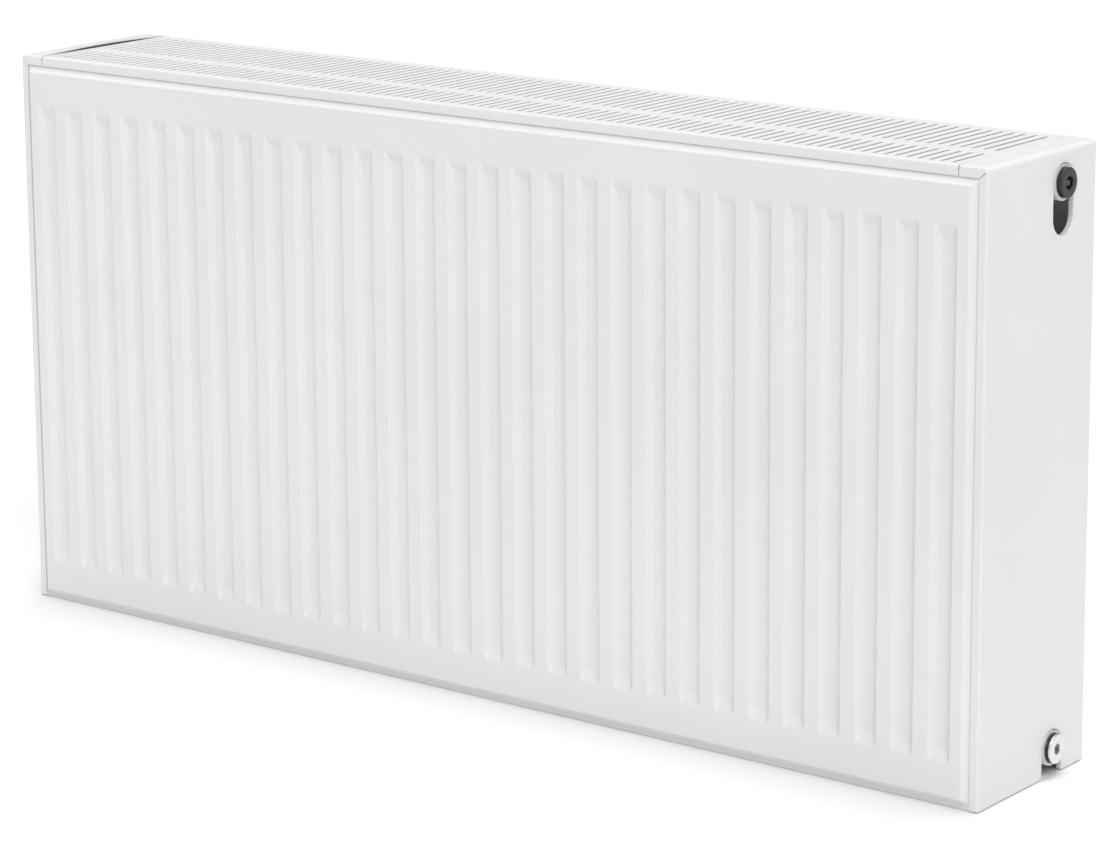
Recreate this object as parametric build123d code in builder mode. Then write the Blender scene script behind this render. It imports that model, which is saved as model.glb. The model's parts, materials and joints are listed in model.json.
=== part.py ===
from build123d import *
from math import atan, cos, degrees, radians, tan
import os

os.makedirs("parts", exist_ok=True)

# A steel panel radiator with three water panels and three convectors, 500 high, 1000 long
# and 160 deep over the casing. X runs along its length, -Y is the room side, +Y the wall
# side, Z is up.
# The origin is on the floor under the middle of the casing.
LENGTH = 1000.0
HEIGHT = 500.0
DEPTH = 160.0

# Water panels: two pressed sheets each, welded back to back at the mid-plane
PITCH = 100.0 / 3
GROOVES = 29
SHEET = 1.2
PANEL_THICKNESS = 13.0
SHELL_DEPTH = PANEL_THICKNESS / 2
PRESS_DEPTH = SHELL_DEPTH - SHEET
RIM_TAPER = 42.0
FACE_PROUD = 4.0
FRONT_PANEL_Y = -DEPTH / 2 - FACE_PROUD + SHELL_DEPTH
MIDDLE_PANEL_Y = -20.0
REAR_PANEL_Y = -FRONT_PANEL_Y

# Length, height and width of the welded seam: the outer panels' seams lie behind the
# casing's lips and flanges, and the middle panel is shorter, which leaves room for the
# cover hooks at its ends
OUTER_PANEL = (992.0, 495.0, 4.0)
MIDDLE_PANEL = (982.0, 490.4, 3.0)

# Grooves between the water channels, the same in every sheet
GROOVE_BOTTOM = 36.0
GROOVE_TOP = 457.0
GROOVE_WIDTH = 20.0
GROOVE_SLOPE = 2.8
GROOVE_CORNER = 4.0
GROOVE_TAPER = degrees(atan(GROOVE_SLOPE / PRESS_DEPTH))

# Convectors: corrugated sheet, one fold welded to each water channel
CONVECTOR_SHEET = 0.5
CONVECTOR_DEPTH = 33.0
CONVECTOR_BOTTOM = 45.0
CONVECTOR_TOP = 450.0
CONVECTOR_FLAT = 13.0
CONVECTOR_SECTIONS = 4
FOLDS_PER_SECTION = (GROOVES - 1) // CONVECTOR_SECTIONS
SECTION_GAP = 1.0

# Connections: four G 1/2 female ports behind the middle panel, 450 between centres
PORT_Y = 31.0
PORT_LOW_Z = 23.0
PORT_HIGH_Z = 473.0
PORT_BORE_R = 18.631 / 2
PORT_THREAD_DEPTH = 18.0
BOSS_R = 14.25
TEE_LENGTH = 36.0
BRANCH_X = 473.0
BRANCH_R = 11.0
WATERWAY_R = 8.0
BOSS_WATERWAY_R = 7.0

# Lugs on the back for the wall brackets
LUG_X = 11 * PITCH
LUG_LOW_Z = 75.0
LUG_HIGH_Z = 425.0
LUG_SHEET = 2.0
LUG_STAND_OFF = 8.0
LUG_WIDTH = 27.0
LUG_HEIGHT = 36.0
LUG_SLOT_WIDTH = 9.0
LUG_SLOT_HEIGHT = 22.0

# Side covers and top grille, both folded from thin sheet
CASING_SHEET = 1.0
CASING_BEND = 2.5
LIP_HEIGHT = 8.5
COVER_BOTTOM = 1.0
COVER_FLANGE = 7.5
COVER_TOP_WIDTH = 25.0
COVER_OPENING_R = 15.0
COVER_TRAVEL = 26.0
COLLAR_SHEET = 1.0
COLLAR_DEPTH = 4.3
MITRE_GAP = 0.5
MITRE_RUN = (5.0, 5.2)
GRILLE_END_GAP = 1.0
SLOT_PITCH = 10.0
SLOT_WIDTH = 3.2
SLOTS = 94
FRONT_ROW = (-73.5, -28.0)
REAR_ROW = (-13.0, 66.5)

# Hooks in the covers hang over brackets on the ends of the middle panel
BRACKET_SHEET = 1.2
BRACKET_LOW_Z = 100.0
BRACKET_HIGH_Z = 400.0
BRACKET_HEIGHT = 20.0
BRACKET_PLATE_X = 494.0
BRACKET_ROOT_X = 470.0
BRACKET_REAR_Y = -14.0
HOOK_LEG_X = 491.8
HOOK_Y = -20.0
HOOK_WIDTH = 10.0
HOOK_DROP = 14.0
HOOK_GAP = 0.4

# Spring clips under the grille straddle the middle panel's top edge
CLIP_XS = {"left": -9 * PITCH, "middle": 0.0, "right": 9 * PITCH}
CLIP_WIDTH = 14.0
CLIP_SHEET = 0.8
CLIP_BOTTOM = 474.0
CLIP_GAP = 0.35

# Plugs in the two right-hand ports
PLUG_FACE_X = LENGTH / 2 + 5.0
PLUG_FLANGE_R = 12.0
PLUG_CHAMFER = 0.5
SHANK_R = PORT_BORE_R - 0.065
SHANK_END_X = LENGTH / 2 - 11.0
BLANKING_FLANGE = 1.6
BLANKING_HEX = 8.0
BLANKING_HEX_DEPTH = 6.5
O_RING_SECTION_R = 1.4
O_RING_R = 10.75
O_RING_X = LENGTH / 2 + 1.9
VENT_FLANGE = 3.4
VENT_HEX = 10.0
VENT_HEX_DEPTH = 5.5
WASHER_THICKNESS = 1.2
WASHER_RADII = (SHANK_R + 0.15, 11.8)
WASHER_X = LENGTH / 2 + 0.2
BLEED_R = 3.0
BLEED_FIT = 0.05
BLEED_LENGTH = 9.0
BLEED_SQUARE = 5.0
BLEED_HEAD_BELOW_FACE = 1.2


def save(builder, name):
    """Labels a finished sub-part and writes it under that name."""
    builder.part.label = name
    export_step(builder.part, f"parts/{name}.step")


def facing(direction, y):
    """A plane at depth y whose normal points along direction * Y and whose second axis is Z."""
    return Plane(origin=(0, y, 0), x_dir=(-direction, 0, 0), z_dir=(0, direction, 0))


def pressed_sheet(name, size, mid_y, direction, port_holes):
    """One half of a water panel: its grooves and its rim meet the other half at mid_y."""
    seam = facing(direction, mid_y)
    length, height, seam_width = size
    middle = height / 2
    groove_middle = (GROOVE_BOTTOM + GROOVE_TOP) / 2
    groove_height = GROOVE_TOP - GROOVE_BOTTOM
    # Both sides of a sloping wall are parallel, one sheet apart
    rim_inset = SHEET / cos(radians(RIM_TAPER))
    wall_shift = SHEET / cos(radians(GROOVE_TAPER)) - SHEET * tan(radians(GROOVE_TAPER))
    raised = (length - 2 * seam_width, height - 2 * seam_width)
    with BuildPart() as sheet:
        with BuildSketch(seam):
            with Locations((0, middle)):
                Rectangle(length, height)
        extrude(amount=SHEET)
        with BuildSketch(seam):
            with Locations((0, middle)):
                Rectangle(*raised)
        extrude(amount=SHELL_DEPTH, taper=RIM_TAPER)
        with BuildSketch(seam):
            with Locations((0, middle)):
                Rectangle(raised[0] - 2 * rim_inset, raised[1] - 2 * rim_inset)
        extrude(amount=PRESS_DEPTH, taper=RIM_TAPER, mode=Mode.SUBTRACT)
        with BuildSketch(seam.offset(PRESS_DEPTH)):
            with Locations((0, groove_middle)):
                with GridLocations(PITCH, 0, GROOVES, 1):
                    RectangleRounded(
                        GROOVE_WIDTH + 2 * wall_shift,
                        groove_height + 2 * wall_shift,
                        GROOVE_CORNER + wall_shift,
                    )
        extrude(amount=-PRESS_DEPTH, taper=GROOVE_TAPER)
        with BuildSketch(seam.offset(SHELL_DEPTH)):
            with Locations((0, groove_middle)):
                with GridLocations(PITCH, 0, GROOVES, 1):
                    RectangleRounded(GROOVE_WIDTH, groove_height, GROOVE_CORNER)
        extrude(amount=-PRESS_DEPTH, taper=GROOVE_TAPER, mode=Mode.SUBTRACT)
        if port_holes:
            with BuildSketch(seam):
                with Locations((0, (PORT_LOW_Z + PORT_HIGH_Z) / 2)):
                    with GridLocations(2 * BRANCH_X, PORT_HIGH_Z - PORT_LOW_Z, 2, 2):
                        Circle(WATERWAY_R)
            extrude(amount=SHELL_DEPTH, mode=Mode.SUBTRACT)
    save(sheet, name)


def fold_points(section):
    """The corrugation of one convector section: (x, height above the panel) at each bend."""
    first = (section - CONVECTOR_SECTIONS / 2) * FOLDS_PER_SECTION * PITCH
    ridge = CONVECTOR_DEPTH - CONVECTOR_SHEET
    half = CONVECTOR_FLAT / 2
    points = [(first + SECTION_GAP / 2, ridge)]
    for fold in range(FOLDS_PER_SECTION):
        start = first + fold * PITCH
        centre = start + PITCH / 2
        points.append((start + half, ridge))
        points.append((centre - half, 0))
        points.append((centre + half, 0))
        points.append((start + PITCH - half, ridge))
    points.append((first + FOLDS_PER_SECTION * PITCH - SECTION_GAP / 2, ridge))
    return points


def convector(name, face_y, direction):
    """Corrugated sheet in four lengths, welded to a panel's face at face_y."""
    with BuildPart() as sheet:
        for section in range(CONVECTOR_SECTIONS):
            path = [(x, face_y + direction * h) for x, h in fold_points(section)]
            with BuildSketch(Plane.XY.offset(CONVECTOR_BOTTOM)):
                with BuildLine():
                    outline = Polyline(*path)
                    offset(
                        outline,
                        amount=CONVECTOR_SHEET,
                        side=Side.LEFT if direction > 0 else Side.RIGHT,
                        kind=Kind.INTERSECTION,
                    )
                make_face()
            extrude(amount=CONVECTOR_TOP - CONVECTOR_BOTTOM)
    save(sheet, name)


def tee(name, side, port_z):
    """A threaded boss that faces out at the end, on a branch between two panels."""
    gap = (MIDDLE_PANEL_Y + SHELL_DEPTH, REAR_PANEL_Y - SHELL_DEPTH)
    across = Plane.XZ.offset(-gap[0])
    mouth = Plane.YZ.offset(LENGTH / 2)
    with BuildPart() as fitting:
        with BuildSketch(mouth):
            with Locations((PORT_Y, port_z)):
                Circle(BOSS_R)
        extrude(amount=-TEE_LENGTH)
        with BuildSketch(across):
            with Locations((BRANCH_X, port_z)):
                Circle(BRANCH_R)
        extrude(amount=gap[0] - gap[1])
        with BuildSketch(across):
            with Locations((BRANCH_X, port_z)):
                Circle(WATERWAY_R)
        extrude(amount=gap[0] - gap[1], mode=Mode.SUBTRACT)
        with BuildSketch(mouth):
            with Locations((PORT_Y, port_z)):
                Circle(PORT_BORE_R)
        extrude(amount=-PORT_THREAD_DEPTH, mode=Mode.SUBTRACT)
        with BuildSketch(mouth):
            with Locations((PORT_Y, port_z)):
                Circle(BOSS_WATERWAY_R)
        extrude(amount=BRANCH_X - LENGTH / 2, mode=Mode.SUBTRACT)
        if side < 0:
            mirror(about=Plane.YZ, mode=Mode.REPLACE)
    save(fitting, name)


def spacer(name, side, port_z):
    """A short pipe that joins the front panel to the middle one."""
    gap = (FRONT_PANEL_Y + SHELL_DEPTH, MIDDLE_PANEL_Y - SHELL_DEPTH)
    with BuildPart() as pipe:
        with BuildSketch(Plane.XZ.offset(-gap[0])):
            with Locations((side * BRANCH_X, port_z)):
                Circle(BRANCH_R)
                Circle(WATERWAY_R, mode=Mode.SUBTRACT)
        extrude(amount=gap[0] - gap[1])
    save(pipe, name)


def wall_lug(name, side, middle_z):
    """A folded lug over one groove of the back; a wall hook enters its slot from below."""
    low = middle_z - LUG_HEIGHT / 2
    back = DEPTH / 2 + FACE_PROUD
    slot_centre = low + LUG_SLOT_HEIGHT - LUG_SLOT_WIDTH / 2
    with BuildPart() as lug:
        with BuildSketch(Plane.XY.offset(low)):
            with Locations((side * LUG_X, back + LUG_STAND_OFF / 2)):
                Rectangle(LUG_WIDTH, LUG_STAND_OFF)
            with Locations((side * LUG_X, back + (LUG_STAND_OFF - LUG_SHEET) / 2)):
                Rectangle(
                    LUG_WIDTH - 2 * LUG_SHEET,
                    LUG_STAND_OFF - LUG_SHEET,
                    mode=Mode.SUBTRACT,
                )
        extrude(amount=LUG_HEIGHT)
        with BuildSketch(Plane.XZ.offset(-back)):
            with Locations((side * LUG_X, slot_centre)):
                Circle(LUG_SLOT_WIDTH / 2)
            with Locations((side * LUG_X, (slot_centre + low) / 2)):
                Rectangle(LUG_SLOT_WIDTH, slot_centre - low)
        extrude(amount=-LUG_STAND_OFF, mode=Mode.SUBTRACT)
    save(lug, name)


def cover_bracket(name, side, top_z):
    """An angle on the middle panel; its outer plate carries a cover's hook."""
    web_y = MIDDLE_PANEL_Y - SHELL_DEPTH - BRACKET_SHEET
    outer_x = BRACKET_PLATE_X + BRACKET_SHEET
    with BuildPart() as bracket:
        with BuildSketch(Plane.XY.offset(top_z - BRACKET_HEIGHT)):
            with BuildLine():
                Polyline(
                    (side * BRACKET_ROOT_X, web_y),
                    (side * outer_x, web_y),
                    (side * outer_x, BRACKET_REAR_Y),
                    (side * BRACKET_PLATE_X, BRACKET_REAR_Y),
                    (side * BRACKET_PLATE_X, web_y + BRACKET_SHEET),
                    (side * BRACKET_ROOT_X, web_y + BRACKET_SHEET),
                    close=True,
                )
            make_face()
        extrude(amount=BRACKET_HEIGHT)
    save(bracket, name)


def cover_hook(name, side, bracket_z):
    """A tab inside a cover, folded down behind the bracket's plate."""
    low = bracket_z + HOOK_GAP
    wall_x = LENGTH / 2 - CASING_SHEET
    with BuildPart() as hook:
        with BuildSketch(Plane.XZ.offset(-HOOK_Y)):
            with BuildLine():
                Polyline(
                    (side * wall_x, low),
                    (side * wall_x, low + BRACKET_SHEET),
                    (side * HOOK_LEG_X, low + BRACKET_SHEET),
                    (side * HOOK_LEG_X, low - HOOK_DROP),
                    (side * (HOOK_LEG_X + BRACKET_SHEET), low - HOOK_DROP),
                    (side * (HOOK_LEG_X + BRACKET_SHEET), low),
                    close=True,
                )
            make_face()
        extrude(amount=HOOK_WIDTH / 2, both=True)
    save(hook, name)


def side_cover(name, side):
    """The end cover: a plate with folded edges, a closed slot above and an open one below."""
    plate_x = LENGTH / 2
    inner_x = plate_x - COVER_TOP_WIDTH
    lip_z = HEIGHT - LIP_HEIGHT
    flange_x = plate_x - COVER_FLANGE
    inside = Plane.YZ.offset(plate_x - CASING_SHEET)
    openings = ((PORT_HIGH_Z, PORT_HIGH_Z - COVER_TRAVEL), (PORT_LOW_Z, -COVER_TRAVEL))
    with BuildPart() as cover:
        with BuildSketch(Plane.XY.offset(COVER_BOTTOM)):
            with Locations(((plate_x + inner_x) / 2, 0)):
                Rectangle(COVER_TOP_WIDTH, DEPTH)
        extrude(amount=HEIGHT - COVER_BOTTOM)
        fillet(cover.edges().filter_by(Axis.Z).group_by(Axis.X)[-1], CASING_BEND)
        top = cover.faces().sort_by(Axis.Z)[-1]
        fillet(top.edges() - top.edges().group_by(Axis.X)[0], CASING_BEND)
        open_faces = [cover.faces().sort_by(Axis.Z)[0], cover.faces().sort_by(Axis.X)[0]]
        offset(amount=-CASING_SHEET, openings=open_faces)
        with BuildSketch(Plane.XZ):
            with Locations(((inner_x + flange_x) / 2, (COVER_BOTTOM + lip_z) / 2)):
                Rectangle(COVER_TOP_WIDTH - COVER_FLANGE, lip_z - COVER_BOTTOM)
        extrude(amount=DEPTH, both=True, mode=Mode.SUBTRACT)
        with BuildSketch(Plane.XZ):
            with BuildLine():
                Polyline(
                    (flange_x - MITRE_GAP, lip_z - MITRE_GAP),
                    (flange_x + MITRE_RUN[0], lip_z + MITRE_RUN[1]),
                    (flange_x + MITRE_RUN[0] + MITRE_GAP, lip_z + MITRE_RUN[1] - MITRE_GAP),
                    (flange_x + MITRE_GAP, lip_z - 2 * MITRE_GAP),
                    close=True,
                )
            make_face()
        extrude(amount=DEPTH, both=True, mode=Mode.SUBTRACT)
        for centre_high, centre_low in openings:
            with BuildSketch(inside):
                with Locations((PORT_Y, (centre_high + centre_low) / 2)):
                    SlotOverall(
                        centre_high - centre_low + 2 * (COVER_OPENING_R + COLLAR_SHEET),
                        2 * (COVER_OPENING_R + COLLAR_SHEET),
                        rotation=90,
                    )
            extrude(amount=-COLLAR_DEPTH)
        for centre_high, centre_low in openings:
            with BuildSketch(inside):
                with Locations((PORT_Y, (centre_high + centre_low) / 2)):
                    SlotOverall(
                        centre_high - centre_low + 2 * COVER_OPENING_R,
                        2 * COVER_OPENING_R,
                        rotation=90,
                    )
            extrude(amount=COVER_TOP_WIDTH, both=True, mode=Mode.SUBTRACT)
        with BuildSketch(Plane.XY.offset(COVER_BOTTOM)):
            with Locations((plate_x, 0)):
                Rectangle(LENGTH, DEPTH)
        extrude(amount=-HEIGHT, mode=Mode.SUBTRACT)
        if side < 0:
            mirror(about=Plane.YZ, mode=Mode.REPLACE)
    save(cover, name)


def top_grille():
    """The slotted top, folded down at the front and back."""
    grille_length = LENGTH - 2 * (COVER_TOP_WIDTH + GRILLE_END_GAP)
    with BuildPart() as grille:
        with BuildSketch(Plane.XY.offset(HEIGHT - LIP_HEIGHT)):
            Rectangle(grille_length, DEPTH)
        extrude(amount=LIP_HEIGHT)
        fillet(grille.faces().sort_by(Axis.Z)[-1].edges().filter_by(Axis.X), CASING_BEND)
        ends = grille.faces().sort_by(Axis.X)
        offset(
            amount=-CASING_SHEET,
            openings=[grille.faces().sort_by(Axis.Z)[0], ends[0], ends[-1]],
        )
        with BuildSketch(Plane.XY.offset(HEIGHT)):
            for low, high in (FRONT_ROW, REAR_ROW):
                with Locations((0, (low + high) / 2)):
                    with GridLocations(SLOT_PITCH, 0, SLOTS, 1):
                        SlotOverall(high - low, SLOT_WIDTH, rotation=90)
        extrude(amount=-2 * CASING_SHEET, mode=Mode.SUBTRACT)
    save(grille, "top_grille")


def grille_clip(name, x):
    """An inverted U under the grille, its legs on both sides of the middle panel."""
    top = HEIGHT - CASING_SHEET
    inner = SHELL_DEPTH + CLIP_GAP
    outer = inner + CLIP_SHEET
    with BuildPart() as clip:
        with BuildSketch(Plane.YZ.offset(x)):
            with Locations((MIDDLE_PANEL_Y, (top + CLIP_BOTTOM) / 2)):
                Rectangle(2 * outer, top - CLIP_BOTTOM)
            with Locations((MIDDLE_PANEL_Y, (top - CLIP_SHEET + CLIP_BOTTOM) / 2)):
                Rectangle(2 * inner, top - CLIP_SHEET - CLIP_BOTTOM, mode=Mode.SUBTRACT)
        extrude(amount=CLIP_WIDTH / 2, both=True)
    save(clip, name)


def screw_plug(name, port_z, flange, hex_size, hex_depth, bore_r=0):
    """A flange, a shank that fits the port's bore, and a key recess, bored through if bore_r."""
    face = Plane.YZ.offset(PLUG_FACE_X)
    with BuildPart() as plug:
        with BuildSketch(face):
            with Locations((PORT_Y, port_z)):
                Circle(PLUG_FLANGE_R)
        extrude(amount=-flange)
        chamfer(plug.faces().sort_by(Axis.X)[-1].edges(), PLUG_CHAMFER)
        with BuildSketch(Plane.YZ.offset(PLUG_FACE_X - flange)):
            with Locations((PORT_Y, port_z)):
                Circle(SHANK_R)
        extrude(amount=SHANK_END_X - PLUG_FACE_X + flange)
        chamfer(plug.faces().sort_by(Axis.X)[0].edges(), PLUG_CHAMFER)
        with BuildSketch(face):
            with Locations((PORT_Y, port_z)):
                RegularPolygon(hex_size / 2, 6, major_radius=False)
        extrude(amount=-hex_depth, mode=Mode.SUBTRACT)
        if bore_r:
            with BuildSketch(face):
                with Locations((PORT_Y, port_z)):
                    Circle(bore_r)
            extrude(amount=SHANK_END_X - PLUG_FACE_X, mode=Mode.SUBTRACT)
    save(plug, name)


def o_ring():
    """The round ring under the blanking plug's flange."""
    with BuildPart() as ring:
        with BuildSketch(Plane.XY.offset(PORT_LOW_Z)):
            with Locations((O_RING_X, PORT_Y + O_RING_R)):
                Circle(O_RING_SECTION_R)
        revolve(axis=Axis((0, PORT_Y, PORT_LOW_Z), (1, 0, 0)))
    save(ring, "blanking_plug_o_ring")


def vent_washer():
    """The flat seal under the vent plug's flange."""
    with BuildPart() as washer:
        with BuildSketch(Plane.YZ.offset(WASHER_X)):
            with Locations((PORT_Y, PORT_HIGH_Z)):
                Circle(WASHER_RADII[1])
                Circle(WASHER_RADII[0], mode=Mode.SUBTRACT)
        extrude(amount=WASHER_THICKNESS)
    save(washer, "vent_plug_seal")


def bleed_screw():
    """The screw in the vent plug: a round stem, and a square head for the bleed key."""
    seat_x = PLUG_FACE_X - VENT_HEX_DEPTH
    head_x = PLUG_FACE_X - BLEED_HEAD_BELOW_FACE
    with BuildPart() as screw:
        with BuildSketch(Plane.YZ.offset(seat_x)):
            with Locations((PORT_Y, PORT_HIGH_Z)):
                Circle(BLEED_R)
        extrude(amount=-BLEED_LENGTH)
        chamfer(screw.faces().sort_by(Axis.X)[0].edges(), PLUG_CHAMFER)
        with BuildSketch(Plane.YZ.offset(seat_x)):
            with Locations((PORT_Y, PORT_HIGH_Z)):
                Rectangle(BLEED_SQUARE, BLEED_SQUARE)
        extrude(amount=head_x - seat_x)
        chamfer(screw.faces().sort_by(Axis.X)[-1].edges(), PLUG_CHAMFER)
    save(screw, "bleed_screw")


pressed_sheet("front_panel_outer_sheet", OUTER_PANEL, FRONT_PANEL_Y, -1, port_holes=False)
pressed_sheet("front_panel_inner_sheet", OUTER_PANEL, FRONT_PANEL_Y, 1, port_holes=True)
pressed_sheet("middle_panel_front_sheet", MIDDLE_PANEL, MIDDLE_PANEL_Y, -1, port_holes=True)
pressed_sheet("middle_panel_rear_sheet", MIDDLE_PANEL, MIDDLE_PANEL_Y, 1, port_holes=True)
pressed_sheet("rear_panel_inner_sheet", OUTER_PANEL, REAR_PANEL_Y, -1, port_holes=True)
pressed_sheet("rear_panel_outer_sheet", OUTER_PANEL, REAR_PANEL_Y, 1, port_holes=False)

convector("front_convector", FRONT_PANEL_Y + SHELL_DEPTH, 1)
convector("middle_convector", MIDDLE_PANEL_Y + SHELL_DEPTH, 1)
convector("rear_convector", REAR_PANEL_Y - SHELL_DEPTH, -1)

for side_name, side in (("left", -1), ("right", 1)):
    for level, port_z, lug_z, bracket_z in (
        ("lower", PORT_LOW_Z, LUG_LOW_Z, BRACKET_LOW_Z),
        ("upper", PORT_HIGH_Z, LUG_HIGH_Z, BRACKET_HIGH_Z),
    ):
        tee(f"tee_{level}_{side_name}", side, port_z)
        spacer(f"spacer_{level}_{side_name}", side, port_z)
        wall_lug(f"wall_lug_{level}_{side_name}", side, lug_z)
        cover_bracket(f"cover_bracket_{level}_{side_name}", side, bracket_z)
        cover_hook(f"cover_hook_{level}_{side_name}", side, bracket_z)
    side_cover(f"side_cover_{side_name}", side)

top_grille()
for place, clip_x in CLIP_XS.items():
    grille_clip(f"grille_clip_{place}", clip_x)

screw_plug("blanking_plug", PORT_LOW_Z, BLANKING_FLANGE, BLANKING_HEX, BLANKING_HEX_DEPTH)
o_ring()
screw_plug("vent_plug", PORT_HIGH_Z, VENT_FLANGE, VENT_HEX, VENT_HEX_DEPTH, BLEED_R + BLEED_FIT)
vent_washer()
bleed_screw()
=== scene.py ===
"""White steel panel radiator: refined meshes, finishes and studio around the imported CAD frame."""

import json
from math import ceil, cos, hypot, pi, radians, sin, tan

import bmesh
import bpy
from mathutils import Euler, Matrix, Vector

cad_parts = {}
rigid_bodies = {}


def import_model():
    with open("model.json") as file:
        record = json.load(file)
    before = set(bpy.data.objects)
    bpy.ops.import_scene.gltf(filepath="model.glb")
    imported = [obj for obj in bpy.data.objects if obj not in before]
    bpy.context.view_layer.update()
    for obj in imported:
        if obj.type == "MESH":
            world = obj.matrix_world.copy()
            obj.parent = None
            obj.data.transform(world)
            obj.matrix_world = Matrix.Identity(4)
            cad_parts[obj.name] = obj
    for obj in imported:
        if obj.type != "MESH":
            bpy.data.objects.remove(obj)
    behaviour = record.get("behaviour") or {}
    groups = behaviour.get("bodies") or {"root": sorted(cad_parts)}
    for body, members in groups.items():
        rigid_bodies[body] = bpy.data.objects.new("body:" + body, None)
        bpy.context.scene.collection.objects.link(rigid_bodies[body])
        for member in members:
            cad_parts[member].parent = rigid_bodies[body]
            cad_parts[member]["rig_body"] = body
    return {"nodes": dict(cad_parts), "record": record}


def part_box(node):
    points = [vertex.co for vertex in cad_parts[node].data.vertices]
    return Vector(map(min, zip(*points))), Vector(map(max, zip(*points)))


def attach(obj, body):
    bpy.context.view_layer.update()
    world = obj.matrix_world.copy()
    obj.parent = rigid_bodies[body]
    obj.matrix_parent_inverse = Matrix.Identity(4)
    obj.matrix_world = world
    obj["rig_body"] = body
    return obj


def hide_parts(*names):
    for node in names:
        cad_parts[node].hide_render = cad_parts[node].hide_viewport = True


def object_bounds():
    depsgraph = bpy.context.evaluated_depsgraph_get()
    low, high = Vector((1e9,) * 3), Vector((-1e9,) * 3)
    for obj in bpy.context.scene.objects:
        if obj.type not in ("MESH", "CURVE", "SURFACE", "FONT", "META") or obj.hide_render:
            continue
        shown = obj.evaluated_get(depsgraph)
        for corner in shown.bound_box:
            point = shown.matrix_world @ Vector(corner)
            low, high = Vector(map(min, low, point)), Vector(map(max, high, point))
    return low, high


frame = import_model()
cad_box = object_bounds()
nodes = frame["nodes"]
record = frame["record"]
slots = {part["node"]: part["material_slot"] for part in record["subparts"]}
scene = bpy.context.scene
scene.view_settings.view_transform = "Standard"

MM = 0.001
PITCH = 100 / 3 * MM
LEFT_RIGHT = (("left", -1), ("right", 1))
LOWER_UPPER = ("lower", "upper")


# ---------------------------------------------------------------- finishes


def shader(name):
    """A new node material: (material, its node tree, its Principled BSDF)."""
    mat = bpy.data.materials.new(name)
    mat.use_nodes = True
    return mat, mat.node_tree, mat.node_tree.nodes["Principled BSDF"]


def node(tree, kind, **values):
    """Adds a node; values set its sockets by name (underscores for spaces)."""
    made = tree.nodes.new(kind)
    for key, value in values.items():
        made.inputs[key.replace("_", " ")].default_value = value
    return made


def object_space(tree, stretch=(1, 1, 1), shift=(0, 0, 0)):
    """The object's own coordinates in metres, stretched along its axes."""
    coords = tree.nodes.new("ShaderNodeTexCoord")
    mapping = node(tree, "ShaderNodeMapping", Scale=stretch, Location=shift)
    tree.links.new(coords.outputs["Object"], mapping.inputs["Vector"])
    return mapping.outputs["Vector"]


def noise_field(tree, space, scale, detail=2.0):
    """A noise pattern with about scale features per metre."""
    field = node(tree, "ShaderNodeTexNoise", Scale=scale, Detail=detail)
    tree.links.new(space, field.inputs["Vector"])
    return field.outputs["Fac"]


def remap(tree, value, low, high, start=0.3, end=0.7):
    """value from start..end becomes low..high."""
    ramp = node(
        tree, "ShaderNodeMapRange", From_Min=start, From_Max=end, To_Min=low, To_Max=high
    )
    tree.links.new(value, ramp.inputs["Value"])
    return ramp.outputs["Result"]


def blended(tree, fac, first, second):
    """A colour between first and second."""
    mix = tree.nodes.new("ShaderNodeMix")
    mix.data_type = "RGBA"
    mix.inputs["A"].default_value = (*first, 1)
    mix.inputs["B"].default_value = (*second, 1)
    tree.links.new(fac, mix.inputs["Factor"])
    return mix.outputs["Result"]


def bumps(tree, bsdf, *layers):
    """Stacks (height, distance in metres) layers into the shader's normal."""
    normal = None
    for height, distance in layers:
        bump = node(tree, "ShaderNodeBump", Distance=distance)
        tree.links.new(height, bump.inputs["Height"])
        if normal is not None:
            tree.links.new(normal, bump.inputs["Normal"])
        normal = bump.outputs["Normal"]
    tree.links.new(normal, bsdf.inputs["Normal"])


def coloured(tree, bsdf, fac, first, second):
    """Gives the shader a colour between first and second."""
    tree.links.new(blended(tree, fac, first, second), bsdf.inputs["Base Color"])


def powder_coat(name, light, dark, rough, peel):
    """Sprayed and baked paint: orange peel, slow thickness changes, faint unevenness of tone."""
    mat, tree, bsdf = shader(name)
    space = object_space(tree)
    coloured(tree, bsdf, remap(tree, noise_field(tree, space, 5.0, 4), 0, 1), dark, light)
    gloss = remap(tree, noise_field(tree, space, 70.0), *rough)
    tree.links.new(gloss, bsdf.inputs["Roughness"])
    waves, grain = noise_field(tree, space, 38.0, 1), noise_field(tree, space, 650.0, 1)
    bumps(tree, bsdf, (waves, peel * 3), (grain, peel))
    bsdf.inputs["Specular IOR Level"].default_value = 0.42
    return mat


def primed_steel(name):
    """Thin primer on corrugated sheet, streaked down its length."""
    mat, tree, bsdf = shader(name)
    streaks = noise_field(tree, object_space(tree, (60, 60, 5)), 1.0, 4)
    coloured(tree, bsdf, remap(tree, streaks, 0, 1), (0.74, 0.74, 0.73), (0.80, 0.80, 0.79))
    grain = noise_field(tree, object_space(tree), 420.0, 2)
    tree.links.new(remap(tree, grain, 0.5, 0.68), bsdf.inputs["Roughness"])
    bumps(tree, bsdf, (grain, 0.03 * MM))
    return mat


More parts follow.
